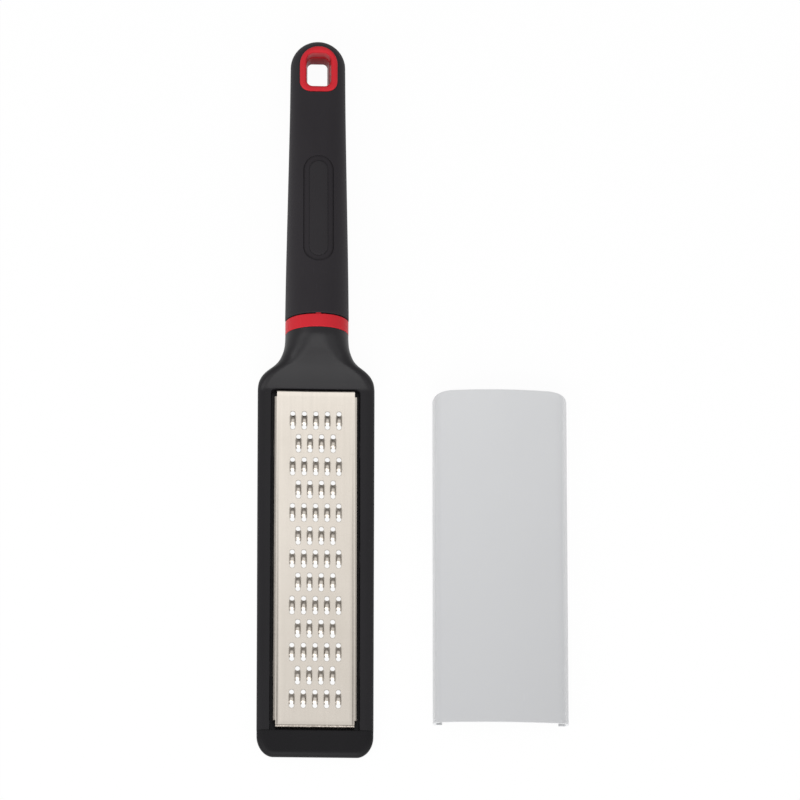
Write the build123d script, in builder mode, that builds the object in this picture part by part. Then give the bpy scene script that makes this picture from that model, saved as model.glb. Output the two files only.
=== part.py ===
from build123d import *
import math
import os

# A rasp zester lying face up on a table, with its take-off cover beside it.
# X runs across the blade, +Y towards the hanging hole, +Z up. The table is z = 0.
# The origin is under the shoulder, on the long axis, at the handle end of the blade recess.
# All sizes are in millimetres.

# Fits
fit_gap = 0.08
seat_gap = 0.04
overrun = 1.0
quarter_turn = 90

# Frame: paddle with its recess and window
paddle_width = 49.9
paddle_taper = 0.6
paddle_height = 5.4
paddle_edge_radius = 2.2
recess_length = 148.7
recess_width = 38.0
recess_corner_radius = 1.6
ledge_height = 1.9
side_ledge_width = 3.2
end_ledge_width = 4.0
window_corner_radius = 2.5
bevel_length = 1.0
bevel_depth = 0.45

# Frame: neck, boss and tang
shoulder_length = 1.7
neck_step = 0.05
neck_length = 23.0
neck_width = 26.6
neck_height = 23.4
neck_side_share = 0.47
neck_crown_share = 0.47
boss_width = 18.0
boss_height = 15.0
boss_radius = 6.5
boss_entry = 3.0
tang_width = 12.0
tang_height = 7.0
tang_radius = 1.5
tang_length = 52.0
tang_hole_radius = 2.2
tang_hole_setback = 12.0

# Neck stations from the shoulder (0) to the collar (1), and how far each size has gone there
neck_station_shares = [0.0, 0.078, 0.151, 0.251, 0.356, 0.52, 0.712, 0.89, 1.0]
neck_width_shares = [0.0, 0.031, 0.084, 0.235, 0.425, 0.779, 0.943, 0.99, 1.0]
neck_rise_shares = [0.0, 0.035, 0.09, 0.2, 0.33, 0.57, 0.82, 0.965, 1.0]
neck_side_shares = [0.0, 0.2, 0.38, 0.58, 0.74, 0.9, 0.97, 1.0, 1.0]

# Blade
blade_gap = 1.05
sheet = 0.5
blade_proud = 0.6
bend_radius = 1.6
corner_notch_width = 1.5
corner_notch_length = 3.0
tooth_pitch = 4.95
row_pitch = 10.16
teeth_in_long_row = 5
long_rows = 7
tooth_hole_radius = 1.25
tooth_hole_sides = 8
tooth_hole_turn = 22.5
tooth_arch_sides = 5
tooth_hole_spacing = 5.9
tooth_width = 2.5
tooth_rise = 0.9
tooth_length = 3.4

# Snap barbs on the rails and their slots in the blade's side flanges
barb_count = 3
barb_pitch = 48.0
barb_length = 6.0
barb_height = 1.2
barb_reach = 1.4
barb_rise = 0.8
slot_margin = 0.3

# Tip bumper
bumper_length = 10.7
bumper_inset = 0.2
bumper_corner_radius = 8.6
bumper_proud = 0.3
bumper_edge_radius = 2.2
bumper_line_radius = 0.5
tongue_width = 34.0
tongue_length = 5.5
tongue_height = 3.0
tongue_lift = 0.8

# Collar
collar_length = 5.7
collar_inset = 0.3
nib_width = 2.2
grip_line_gap = 0.45

# Grip
grip_width = 27.2
grip_height = 24.0
grip_end_width = 23.4
grip_end_height = 15.5
grip_end_lift = 2.4
grip_end_centre = 142.2
grip_side_share = 0.47
grip_end_side_share = 0.3
grip_crown_share = 0.47
grip_end_crown_share = 0.42
grip_station_shares = [0.0, 0.42, 0.8, 1.0]
grip_width_shares = [0.0, 0.43, 0.86, 1.0]
grip_height_shares = [0.0, 0.4, 0.86, 1.0]

# Handle core
grip_wall = 2.8
core_length = 96.0
core_end_radius = 4.0

# Hang hole liner
liner_half_width = 8.4
liner_drop = 12.6
liner_corner_radius = 5.2
liner_wall = 3.0
opening_far_radius = 3.6
opening_near_radius = 2.8
liner_proud = 0.35
liner_edge_radius = 0.8

# Badge inlay, let into the front of the grip
badge_width = 7.8
badge_length = 45.7
badge_centre = 78.0
badge_border = 2.4
badge_recess_depth = 0.75
badge_groove = 0.35
badge_thickness = 1.9
badge_step = 0.15
badge_edge = 0.3

# Cover
cover_width = 57.2
cover_height = 9.8
cover_length = 144.3
cover_wall = 1.2
cover_crown_rise = 2.6
cover_shoulder_radius = 4.2
cover_foot_radius = 2.4
cover_lip_width = 4.1
cover_end_corner = 3.4
cover_centre_x = 78.6
cover_top_y = -0.8

# Derived places
recess_half = recess_width / 2
collar_start = neck_length + seat_gap
collar_end = neck_length + collar_length
grip_start = collar_end + grip_line_gap
grip_span = grip_end_centre - grip_start
boss_centre_z = neck_height / 2
blade_length = recess_length - 2 * blade_gap
blade_width = recess_width - 2 * blade_gap
blade_centre_y = -recess_length / 2
plate_top = paddle_height + blade_proud
paddle_tip_width = paddle_width - paddle_taper
plate_bottom = plate_top - sheet
flange_bottom = ledge_height + seat_gap


def blend(start, end, share):
    """Value that lies a share of the way from start to end."""
    return start + (end - start) * share


def soft_section(width, height, side, crown):
    """Outline with quarter-ellipse corners: side is their reach across, crown their reach in height."""
    half = width / 2
    rise = height / 2
    with BuildSketch() as section:
        with BuildLine():
            Line((half, crown - rise), (half, rise - crown))
            EllipticalCenterArc((half - side, rise - crown), side, crown, 0, arc_size=quarter_turn)
            Line((half - side, rise), (side - half, rise))
            EllipticalCenterArc((side - half, rise - crown), side, crown, quarter_turn, arc_size=quarter_turn)
            Line((-half, rise - crown), (-half, crown - rise))
            EllipticalCenterArc((side - half, crown - rise), side, crown, 2 * quarter_turn, arc_size=quarter_turn)
            Line((side - half, -rise), (half - side, -rise))
            EllipticalCenterArc((half - side, crown - rise), side, crown, 3 * quarter_turn, arc_size=quarter_turn)
        make_face()
    return section.sketch


def neck_loft():
    """Neck: soft sections from the flat shoulder to the deep round collar end."""
    with BuildPart() as neck:
        for station, width_share, rise_share, side_share in zip(
            neck_station_shares, neck_width_shares, neck_rise_shares, neck_side_shares
        ):
            width = blend(paddle_width, neck_width, width_share) - 2 * neck_step
            height = blend(paddle_height, neck_height, rise_share)
            side = blend(paddle_edge_radius, neck_width * neck_side_share, side_share)
            crown = blend(paddle_edge_radius, neck_height * neck_crown_share, rise_share)
            with BuildSketch(Plane.XZ.offset(-blend(shoulder_length, neck_length, station))):
                with Locations((0, height / 2)):
                    add(soft_section(width, height - 2 * neck_step, side, crown))
        loft()
    return neck.part


def grip_body(inset, start):
    """Handle shape drawn in by an inset, from a start plane to its full-round hanging end."""
    with BuildPart() as body:
        for station, width_share, height_share in zip(
            grip_station_shares, grip_width_shares, grip_height_shares
        ):
            width = blend(grip_width, grip_end_width, width_share) - 2 * inset
            height = blend(grip_height, grip_end_height, height_share)
            lift = grip_end_lift * height_share
            side = grip_width * blend(grip_side_share, grip_end_side_share, station) - inset
            crown = height * blend(grip_crown_share, grip_end_crown_share, station) - inset
            with BuildSketch(Plane.XZ.offset(-(start + (grip_end_centre - start) * station))):
                with Locations((0, lift + height / 2)):
                    add(soft_section(width, height - 2 * inset, side, crown))
        loft()
    return body.part


# Frame: a slightly tapered paddle, cut by the blade recess and the window under it
with BuildPart() as frame:
    with BuildSketch():
        with BuildLine():
            Polyline(
                (-paddle_width / 2, shoulder_length),
                (paddle_width / 2, shoulder_length),
                (paddle_tip_width / 2, -recess_length),
                (-paddle_tip_width / 2, -recess_length),
                close=True,
            )
        make_face()
    extrude(amount=paddle_height)
    fillet(frame.edges().filter_by(lambda edge: edge.length > paddle_width), paddle_edge_radius)
    # Recess for the blade, open to the tip where the bumper closes it
    with BuildSketch(Plane.XY.offset(ledge_height)):
        with Locations((0, blade_centre_y)):
            Rectangle(recess_width, recess_length)
        fillet(vertices().group_by(Axis.Y)[-1], recess_corner_radius)
    extrude(amount=paddle_height, mode=Mode.SUBTRACT)
    # Window right through, leaving a ledge all round for the blade's flanges
    with BuildSketch(Plane.XY.offset(-overrun)):
        with Locations((0, blade_centre_y)):
            RectangleRounded(
                recess_width - 2 * side_ledge_width,
                recess_length - 2 * end_ledge_width,
                window_corner_radius,
            )
    extrude(amount=ledge_height + 2 * overrun, mode=Mode.SUBTRACT)
    add(neck_loft())
    # Boss through the collar and into the mouth of the core
    with BuildSketch(Plane.XZ.offset(-neck_length)):
        with Locations((0, boss_centre_z)):
            RectangleRounded(boss_width, boss_height, boss_radius)
    extrude(amount=-(collar_length + boss_entry))
    # Tang, with the hole that the core's post fills
    with BuildSketch(Plane.XZ.offset(-(collar_end + boss_entry))):
        with Locations((0, boss_centre_z)):
            RectangleRounded(tang_width, tang_height, tang_radius)
    extrude(amount=-tang_length)
    with BuildSketch(Plane.XY.offset(boss_centre_z - tang_height / 2 - overrun)):
        with Locations((0, collar_end + boss_entry + tang_length - tang_hole_setback)):
            Circle(tang_hole_radius)
    extrude(amount=tang_height + 2 * overrun, mode=Mode.SUBTRACT)
    # Bevel at the handle end of the recess
    with BuildSketch(Plane.YZ.offset(-recess_half + recess_corner_radius)):
        with BuildLine():
            Polyline(
                (-overrun, paddle_height - bevel_depth),
                (0, paddle_height - bevel_depth),
                (bevel_length, paddle_height),
                (bevel_length, neck_height),
                (-overrun, neck_height),
                close=True,
            )
        make_face()
    extrude(amount=recess_width - 2 * recess_corner_radius, mode=Mode.SUBTRACT)
    # Snap barbs low on both rails
    with BuildSketch(Plane.XZ.offset(-blade_centre_y - barb_length / 2)):
        with BuildLine():
            Polyline(
                (recess_half, ledge_height + barb_rise),
                (recess_half - barb_reach, ledge_height + barb_rise),
                (recess_half - barb_reach, ledge_height + barb_rise + barb_height / 2),
                (recess_half, ledge_height + barb_rise + barb_height),
                close=True,
            )
        make_face()
        mirror(about=Plane.YZ)
    barb_pair = extrude(amount=barb_length, mode=Mode.PRIVATE)
    for index in range(barb_count):
        add(barb_pair.moved(Location((0, (index - (barb_count - 1) / 2) * barb_pitch, 0))))
    # Tongue at the tip, which the bumper is moulded over
    with BuildSketch(Plane.XZ.offset(recess_length)):
        with Locations((0, tongue_lift + tongue_height / 2)):
            Rectangle(tongue_width, tongue_height)
    extrude(amount=tongue_length)

frame.part.label = "frame"


# Blade: a shallow tray of sheet with bent sides, notched corners and arched two-way teeth
def tray(inset, top, bottom):
    """Solid block with rolled upper edges, from which the tray is made."""
    with BuildPart() as block:
        with BuildSketch(Plane.XY.offset(bottom)):
            with Locations((0, blade_centre_y)):
                Rectangle(blade_width - 2 * inset, blade_length - 2 * inset)
        extrude(amount=top - bottom)
        fillet(block.edges().group_by(Axis.Z)[-1], bend_radius - inset)
    return block.part


def tooth_places():
    """Centres of the teeth: long rows and, between them, rows of one tooth fewer."""
    rows = 2 * long_rows - 1
    places = []
    for row in range(rows):
        count = teeth_in_long_row - row % 2
        row_y = blade_centre_y + (row - (rows - 1) / 2) * row_pitch
        places += [((index - (count - 1) / 2) * tooth_pitch, row_y) for index in range(count)]
    return places


def arch(width, rise, length, foot):
    """Arched bar along Y with its foot at a height, as wide as the tooth."""
    with BuildPart() as bar:
        with BuildSketch(Plane.XZ.offset(-length / 2)):
            angles = [math.pi * step / tooth_arch_sides for step in range(tooth_arch_sides + 1)]
            crown = [
                (width / 2 * math.cos(angle), plate_top + rise * math.sin(angle)) for angle in angles
            ]
            with BuildLine():
                Polyline(*crown, (-width / 2, foot), (width / 2, foot), close=True)
            make_face()
        extrude(amount=length)
    return bar.part


with BuildPart() as blade:
    add(tray(0, plate_top, flange_bottom))
    add(tray(sheet, plate_bottom, flange_bottom - overrun), mode=Mode.SUBTRACT)
    # Notched corners part the side flanges from the end flanges
    with BuildSketch(Plane.XY.offset(flange_bottom - overrun)):
        with Locations((0, blade_centre_y)):
            with GridLocations(blade_width, blade_length, 2, 2):
                Rectangle(2 * corner_notch_width, 2 * corner_notch_length)
    extrude(amount=plate_top - flange_bottom + 2 * overrun, mode=Mode.SUBTRACT)
    # Slots that snap over the frame's barbs
    with BuildSketch(Plane.YZ.offset(-blade_width)):
        with Locations((blade_centre_y, ledge_height + barb_rise + barb_height / 2)):
            with GridLocations(barb_pitch, barb_height, barb_count, 1):
                Rectangle(barb_length + 2 * slot_margin, barb_height + 2 * slot_margin)
    extrude(amount=2 * blade_width, mode=Mode.SUBTRACT)
    # Teeth: a raised arch, hollow beneath, between two round holes
    with Locations(*tooth_places()):
        add(arch(tooth_width, tooth_rise, tooth_length, plate_bottom))
    with BuildSketch(Plane.XY.offset(plate_bottom - overrun)):
        with Locations(*tooth_places()):
            with GridLocations(0, tooth_hole_spacing, 1, 2):
                RegularPolygon(tooth_hole_radius, tooth_hole_sides, rotation=tooth_hole_turn)
    extrude(amount=sheet + 2 * overrun + tooth_rise, mode=Mode.SUBTRACT)
    with Locations(*tooth_places()):
        add(
            arch(tooth_width - 2 * sheet, tooth_rise - sheet, tooth_hole_spacing, plate_bottom - sheet),
            mode=Mode.SUBTRACT,
        )
blade.part.label = "blade"

# Tip bumper: soft cap moulded over the tongue, a little proud of the frame
with BuildPart() as tip_bumper:
    with BuildSketch():
        with Locations((0, -recess_length - seat_gap - bumper_length / 2)):
            Rectangle(paddle_tip_width - 2 * bumper_inset, bumper_length)
        fillet(vertices().group_by(Axis.Y)[0], bumper_corner_radius)
    extrude(amount=paddle_height + bumper_proud)
    outer_edges = tip_bumper.edges().filter_by(GeomType.LINE, reverse=True)
    side_edges = tip_bumper.edges().filter_by(Axis.Y)
    front_edges = tip_bumper.edges().filter_by(Axis.X).group_by(Axis.Y)[0]
    top_chain = (outer_edges + side_edges + front_edges).group_by(Axis.Z)[-1]
    fillet(top_chain, bumper_edge_radius)
    bottom_faces = tip_bumper.faces().sort_by(Axis.Z)[0]
    rear_bottom = bottom_faces.edges().sort_by(Axis.Y)[-1]
    fillet(bottom_faces.edges() - [rear_bottom], bumper_edge_radius)
    rear_top = tip_bumper.edges().filter_by(Axis.X).group_by(Axis.Y)[-1].sort_by(Axis.Z)[-1]
    fillet(rear_top, bumper_line_radius)
    with BuildSketch(Plane.XZ.offset(recess_length)):
        with Locations((0, tongue_lift + tongue_height / 2)):
            Rectangle(tongue_width + 2 * fit_gap, tongue_height + 2 * fit_gap)
    extrude(amount=tongue_length + fit_gap, mode=Mode.SUBTRACT)
tip_bumper.part.label = "tip_bumper"

# Collar: a band round the boss, just inside the grip's outline
with BuildPart() as collar:
    with BuildSketch(Plane.XZ.offset(-collar_start)):
        with Locations((0, boss_centre_z)):
            add(
                soft_section(
                    grip_width - 2 * collar_inset,
                    neck_height,
                    neck_width * neck_side_share,
                    neck_height * neck_crown_share,
                )
            )
            RectangleRounded(
                boss_width + 2 * fit_gap, boss_height + 2 * fit_gap, boss_radius + fit_gap, mode=Mode.SUBTRACT
            )
    extrude(amount=-(collar_end - collar_start))
    # Nib that keys the grip at the top
    with BuildSketch(Plane.XZ.offset(-collar_end)):
        with Locations((0, neck_height - grip_wall / 2)):
            Rectangle(nib_width, grip_wall / 2)
    extrude(amount=-grip_line_gap)
collar.part.label = "collar"


def liner_outline(inset):
    """Outline of the hanging hole: round at the end, small corners towards the grip."""
    with BuildSketch() as outline:
        with Locations((0, grip_end_centre)):
            Circle(liner_half_width - inset)
        with Locations((0, grip_end_centre - (liner_drop - inset) / 2)):
            Rectangle(2 * (liner_half_width - inset), liner_drop - inset)
        fillet(outline.vertices().group_by(Axis.Y)[0], liner_corner_radius - inset / 2)
    return outline.sketch


def opening_outline():
    """Outline of the opening in the liner: a soft-cornered rectangle."""
    length = liner_half_width + liner_drop - 2 * liner_wall
    middle = grip_end_centre + (liner_half_width - liner_drop) / 2
    with BuildSketch() as outline:
        with Locations((0, middle)):
            Rectangle(2 * (liner_half_width - liner_wall), length)
        fillet(outline.vertices().group_by(Axis.Y)[-1], opening_far_radius)
        fillet(outline.vertices().group_by(Axis.Y)[0], opening_near_radius)
    return outline.sketch


# Hang hole liner: red sleeve through the grip
liner_low = grip_end_lift - liner_proud
liner_high = grip_end_lift + grip_end_height + liner_proud
with BuildPart() as hang_hole_liner:
    add(extrude(Plane.XY.offset(liner_low) * liner_outline(fit_gap), amount=liner_high - liner_low))
    rims = hang_hole_liner.edges().group_by(Axis.Z)
    fillet(rims[-1] + rims[0], liner_edge_radius)
    add(
        extrude(
            Plane.XY.offset(liner_low - overrun) * opening_outline(),
            amount=liner_high - liner_low + 2 * overrun,
        ),
        mode=Mode.SUBTRACT,
    )
hang_hole_liner.part.label = "hang_hole_liner"


# Handle core: hard bar inside the grip, with a socket for the boss and the tang
def core_shape(inset, end):
    """The grip's shape drawn in and cut off square short of the hanging hole."""
    with BuildPart() as shape:
        add(grip_body(inset, collar_end + seat_gap))
        split(bisect_by=Plane.XZ.offset(-end), keep=Keep.TOP)
    return shape.part


core_end = grip_start + core_length
tang_start = collar_end + boss_entry
with BuildPart() as handle_core:
    add(core_shape(grip_wall, core_end))
    with BuildSketch(Plane.XZ.offset(-collar_end)):
        with Locations((0, boss_centre_z)):
            RectangleRounded(boss_width + 2 * fit_gap, boss_height + 2 * fit_gap, boss_radius)
    extrude(amount=-(boss_entry + fit_gap), mode=Mode.SUBTRACT)
    with BuildSketch(Plane.XZ.offset(-tang_start)):
        with Locations((0, boss_centre_z)):
            RectangleRounded(tang_width + 2 * fit_gap, tang_height + 2 * fit_gap, tang_radius)
    extrude(amount=-(tang_length + fit_gap), mode=Mode.SUBTRACT)
    # Post moulded through the tang's hole, which locks the handle on
    with BuildSketch(Plane.XY.offset(boss_centre_z - tang_height / 2 - overrun)):
        with Locations((0, tang_start + tang_length - tang_hole_setback)):
            Circle(tang_hole_radius - fit_gap)
    extrude(amount=tang_height + 2 * overrun)
handle_core.part.label = "handle_core"

# Grip: soft sleeve with a full-round hanging end
with BuildPart() as grip:
    add(grip_body(0, grip_start))
    with BuildSketch(Plane.XZ.offset(-grip_end_centre)) as end_section:
        with Locations((0, grip_end_lift + grip_end_height / 2)):
            add(
                soft_section(
                    grip_end_width,
                    grip_end_height,
                    grip_width * grip_end_side_share,
                    grip_end_height * grip_end_crown_share,
                )
            )
        with Locations((-grip_end_width / 2, grip_end_lift + grip_end_height / 2)):
            Rectangle(grip_end_width, grip_end_height, mode=Mode.SUBTRACT)
    revolve(axis=Axis((0, grip_end_centre, 0), (0, 0, 1)), revolution_arc=180)


def grip_top(y):
    """Height of the grip's crown at a place along the handle."""
    probe = Edge.make_line((0, y, grip_height / 2), (0, y, grip_height + overrun))
    return (grip.part & probe).bounding_box().max.Z


# The badge lies along the crown, so its plane passes through the crown at both its ends
badge_start_top = grip_top(badge_centre - badge_length / 2)
badge_end_top = grip_top(badge_centre + badge_length / 2)
badge_plane = Plane(
    origin=(0, badge_centre, (badge_start_top + badge_end_top) / 2),
    x_dir=(1, 0, 0),
    z_dir=(0, badge_start_top - badge_end_top, badge_length),
)


def badge_solid(border, bottom, top):
    """Long round-ended block between two depths under the crown."""
    with BuildPart() as block:
        with BuildSketch(badge_plane.offset(-bottom)):
            SlotOverall(badge_length + 2 * border, badge_width + 2 * border, rotation=90)
        extrude(amount=bottom - top)
    return block.part


with grip:
    add(core_shape(grip_wall - fit_gap, core_end + fit_gap), mode=Mode.SUBTRACT)
    add(
        extrude(Plane.XY.offset(-overrun) * liner_outline(0), amount=grip_height + 2 * overrun),
        mode=Mode.SUBTRACT,
    )
    add(badge_solid(badge_border, badge_recess_depth, -overrun), mode=Mode.SUBTRACT)
    add(badge_solid(badge_groove, badge_thickness + seat_gap, 0), mode=Mode.SUBTRACT)
grip.part.label = "grip"

# Badge inlay: a bare pad standing in the grip's shallow recess
with BuildPart() as badge_inlay:
    add(badge_solid(0, badge_thickness, badge_step))
    upper_rim = badge_inlay.faces().sort_by(Axis.Z)[-1].edges()
    chamfer(upper_rim, badge_edge)
badge_inlay.part.label = "badge_inlay"

# Cover: a channel with an arched crown and lips turned in along both feet
cover_half = cover_width / 2
cover_side_top = cover_height - cover_crown_rise
with BuildPart() as cover:
    with BuildSketch(Plane.XZ.offset(-cover_top_y)):
        with BuildLine():
            ThreePointArc(
                (cover_centre_x - cover_half, cover_side_top),
                (cover_centre_x, cover_height),
                (cover_centre_x + cover_half, cover_side_top),
            )
            Polyline(
                (cover_centre_x + cover_half, cover_side_top),
                (cover_centre_x + cover_half, 0),
                (cover_centre_x - cover_half, 0),
                (cover_centre_x - cover_half, cover_side_top),
            )
        make_face()
        fillet(vertices().group_by(Axis.Y)[-1], cover_shoulder_radius)
        fillet(vertices().group_by(Axis.Y)[0], cover_foot_radius)
        offset(amount=-cover_wall, mode=Mode.SUBTRACT)
        with Locations((cover_centre_x, cover_wall / 2)):
            Rectangle(2 * (cover_half - cover_lip_width), 2 * cover_wall, mode=Mode.SUBTRACT)
    extrude(amount=cover_length)
    # Corners of the handle end are rounded off in plan
    with BuildSketch():
        with Locations((cover_centre_x, cover_top_y - cover_length / 2)):
            Rectangle(cover_width, cover_length)
        fillet(vertices().group_by(Axis.Y)[-1], cover_end_corner)
    extrude(amount=cover_height, mode=Mode.INTERSECT)
cover.part.label = "cover"

for piece in (
    frame, blade, tip_bumper, collar, handle_core, grip, badge_inlay, hang_hole_liner, cover
):
    export_step(piece.part, f"parts/{piece.part.label}.step")
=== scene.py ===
import math
import bmesh
import bpy
import numpy as np
from mathutils import Matrix


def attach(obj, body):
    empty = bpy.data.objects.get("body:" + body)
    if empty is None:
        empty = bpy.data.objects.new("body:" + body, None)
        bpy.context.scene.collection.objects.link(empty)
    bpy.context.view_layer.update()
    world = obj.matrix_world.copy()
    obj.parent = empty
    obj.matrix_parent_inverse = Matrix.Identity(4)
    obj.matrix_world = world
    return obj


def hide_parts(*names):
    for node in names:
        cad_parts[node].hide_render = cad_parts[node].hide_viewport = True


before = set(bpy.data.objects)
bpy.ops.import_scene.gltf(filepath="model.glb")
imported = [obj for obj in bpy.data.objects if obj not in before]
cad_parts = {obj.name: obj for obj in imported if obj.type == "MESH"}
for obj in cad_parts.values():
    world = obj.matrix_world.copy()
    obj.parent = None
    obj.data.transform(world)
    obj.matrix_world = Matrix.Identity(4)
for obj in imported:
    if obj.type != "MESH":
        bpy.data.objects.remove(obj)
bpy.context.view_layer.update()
mm = 0.001
weldReach = 0.002 * mm
print("frame loaded:", len(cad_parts), "nodes")

view = {
    "distance": 2.5,             # metres from the lens to the aim point
    "tilt": 14.0,                # degrees from straight down, towards the tip
    "side": 3.3,                 # degrees to the left
    "aim": (0.0362, -0.0031, 0.0),
    "pixelSize": 0.00043,        # metres on the table for one pixel of the picture
    "pictureSize": 800,
    "sensor": 36.0,
    "clipEnd": 20.0,
}


# Camera looking at the aim point with the tool's long axis upright in the picture
def placeCamera(values):
    tilt = math.tan(math.radians(values["tilt"]))
    side = math.tan(math.radians(values["side"]))
    back = np.array([-side, -tilt, 1.0])
    back /= np.linalg.norm(back)
    right = np.cross([0.0, 1.0, 0.0], back)
    right /= np.linalg.norm(right)
    up = np.cross(back, right)
    data = bpy.data.cameras.new("photoCamera")
    camera = bpy.data.objects.new("photoCamera", data)
    bpy.context.collection.objects.link(camera)
    camera.location = np.array(values["aim"]) + back * values["distance"]
    camera.rotation_euler = Matrix(np.column_stack([right, up, back]).tolist()).to_euler()
    data.sensor_width = values["sensor"]
    data.lens = values["sensor"] * values["distance"] / values["pixelSize"] / values["pictureSize"]
    data.clip_end = values["clipEnd"]
    bpy.context.scene.camera = camera


placeCamera(view)

studio = {
    "floorSize": 6.0,
    "floorDrop": 0.00005,        # keeps it just clear of the undersides
    "floorColor": (0.86, 0.86, 0.86, 1),
    "floorWhite": 0.96,          # share of plain white in what the camera sees of the floor
    "skyLevel": 0.66,            # light of the world on the object
    "lamps": [                   # name, place, size, power
        ("softTop", (-0.1, 0.93, 2.1), 1.1, 2.3),
        ("softLeft", (-1.4, -0.8, 0.9), 0.9, 10.0),
        ("softRight", (1.5, -1.1, 0.9), 0.9, 3.5),
        ("softTip", (0.0, -1.8, 1.0), 1.6, 28.0),
    ],
}


# Mask: 1 for rays from the camera, a mirror or clear plastic, 0 for scattered light
def seenRay(nodes, links):
    path = nodes.new("ShaderNodeLightPath")
    total = path.outputs["Is Camera Ray"]
    for name in ("Is Glossy Ray", "Is Transmission Ray"):
        larger = nodes.new("ShaderNodeMath")
        larger.operation = "MAXIMUM"
        links.new(total, larger.inputs[0])
        links.new(path.outputs[name], larger.inputs[1])
        total = larger.outputs[0]
    return total


# Two shaders mixed by a share
def mixedShader(nodes, links, share, first, second):
    mix = nodes.new("ShaderNodeMixShader")
    for source, socket in zip((share, first, second), mix.inputs):
        links.new(source, socket)
    return mix.outputs[0]


# White sweep: scattered light sees plain paper, the camera sees it nearly white with its shadow, and from
# below it is clear
def buildFloor(values):
    half, low = values["floorSize"] / 2, -values["floorDrop"]
    corners = [(-half, -half, low), (half, -half, low), (half, half, low), (-half, half, low)]
    mesh = bpy.data.meshes.new("floor")
    mesh.from_pydata(corners, [], [(0, 1, 2, 3)])
    floor = bpy.data.objects.new("floor", mesh)
    bpy.context.collection.objects.link(floor)
    material = bpy.data.materials.new("sweepPaper")
    material.use_nodes = True
    nodes, links = material.node_tree.nodes, material.node_tree.links
    nodes.clear()
    paper = nodes.new("ShaderNodeBsdfDiffuse")
    paper.inputs["Color"].default_value = values["floorColor"]
    white = nodes.new("ShaderNodeEmission")
    share = nodes.new("ShaderNodeMath")
    share.operation = "MULTIPLY"
    share.inputs[1].default_value = values["floorWhite"]
    links.new(seenRay(nodes, links), share.inputs[0])
    above = mixedShader(nodes, links, share.outputs[0], paper.outputs[0], white.outputs[0])
    facing = nodes.new("ShaderNodeNewGeometry")
    clear = nodes.new("ShaderNodeBsdfTransparent")
    sided = mixedShader(nodes, links, facing.outputs["Backfacing"], above, clear.outputs[0])
    output = nodes.new("ShaderNodeOutputMaterial")
    links.new(sided, output.inputs["Surface"])
    mesh.materials.append(material)


# Even white studio: plain light on the object, and full white for the camera, for mirrors and through
# clear plastic
def buildWorld(values):
    world = bpy.data.worlds.new("studio")
    world.use_nodes = True
    bpy.context.scene.world = world
    nodes, links = world.node_tree.nodes, world.node_tree.links
    background = nodes["Background"]
    background.inputs["Color"].default_value = (1, 1, 1, 1)
    level = nodes.new("ShaderNodeMapRange")
    level.inputs["To Min"].default_value = values["skyLevel"]
    level.inputs["To Max"].default_value = 1.0
    links.new(seenRay(nodes, links), level.inputs["Value"])
    links.new(level.outputs["Result"], background.inputs["Strength"])


# Soft square lamps, each turned to the middle of the table
def buildLamps(values):
    for name, place, size, power in values["lamps"]:
        data = bpy.data.lights.new(name, "AREA")
        data.size = size
        data.energy = power
        lamp = bpy.data.objects.new(name, data)
        bpy.context.collection.objects.link(lamp)
        lamp.location = place
        across = math.hypot(place[0], place[1])
        lamp.rotation_euler = (math.atan2(across, place[2]), 0, math.atan2(place[0], -place[1]))


buildFloor(studio)
buildWorld(studio)
buildLamps(studio)
bpy.context.scene.view_settings.view_transform = "Standard"
print("camera, floor and lamps placed")

# Effects used by more than one finish. A noise is its scale, its stretch along the axes, its detail and its
# roughness
mouldEtch = {
    "pits": (2600.0, (1, 1, 1), 2.0, 0.6),
    "coarse": (900.0, (1, 1, 1), 3.0, 0.5),
    "pitShare": 0.65,
    "mottle": (38.0, (1, 0.6, 1), 4.0, 0.6),
    "mottleRange": (0.3, 0.7),
}
handling = {
    "along": (260.0, (9.0, 0.45, 3.0), 2.0, 0.5),
    "alongRange": (0.66, 0.74),
    "across": (210.0, (0.6, 8.0, 3.0), 2.0, 0.5),
    "acrossRange": (0.69, 0.77),
    "patch": (30.0, (1, 1, 1), 2.0, 0.5),
    "patchRange": (0.5, 0.66),
    "dulling": 0.3,              # roughness that a full scuff adds
}


# Empty shader group with named float outputs; gives the tree and its output end
def newGroup(name, outputs):
    tree = bpy.data.node_groups.new(name, "ShaderNodeTree")
    for socket in outputs:
        tree.interface.new_socket(name=socket, in_out="OUTPUT", socket_type="NodeSocketFloat")
    return tree, tree.nodes.new("NodeGroupOutput")


# Noise on object coordinates, drawn out by a stretch for each axis
def stretchedNoise(tree, scale, stretch, detail, roughness):
    place = tree.nodes.new("ShaderNodeTexCoord")
    mapping = tree.nodes.new("ShaderNodeMapping")
    mapping.inputs["Scale"].default_value = stretch
    noise = tree.nodes.new("ShaderNodeTexNoise")
    noise.inputs["Scale"].default_value = scale
    noise.inputs["Detail"].default_value = detail
    noise.inputs["Roughness"].default_value = roughness
    tree.links.new(place.outputs["Object"], mapping.inputs["Vector"])
    tree.links.new(mapping.outputs[0], noise.inputs["Vector"])
    return noise.outputs["Fac"]


# Source between low and high, carried over to start and end
def ranged(tree, source, low, high, start=0.0, end=1.0):
    node = tree.nodes.new("ShaderNodeMapRange")
    node.inputs["From Min"].default_value = low
    node.inputs["From Max"].default_value = high
    node.inputs["To Min"].default_value = start
    node.inputs["To Max"].default_value = end
    tree.links.new(source, node.inputs["Value"])
    return node.outputs["Result"]


# Two values through one Math node; a plain number may stand for the second
def combined(tree, operation, first, second):
    node = tree.nodes.new("ShaderNodeMath")
    node.operation = operation
    tree.links.new(first, node.inputs[0])
    if isinstance(second, (int, float)):
        node.inputs[1].default_value = second
    else:
        tree.links.new(second, node.inputs[1])
    return node.outputs[0]


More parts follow.
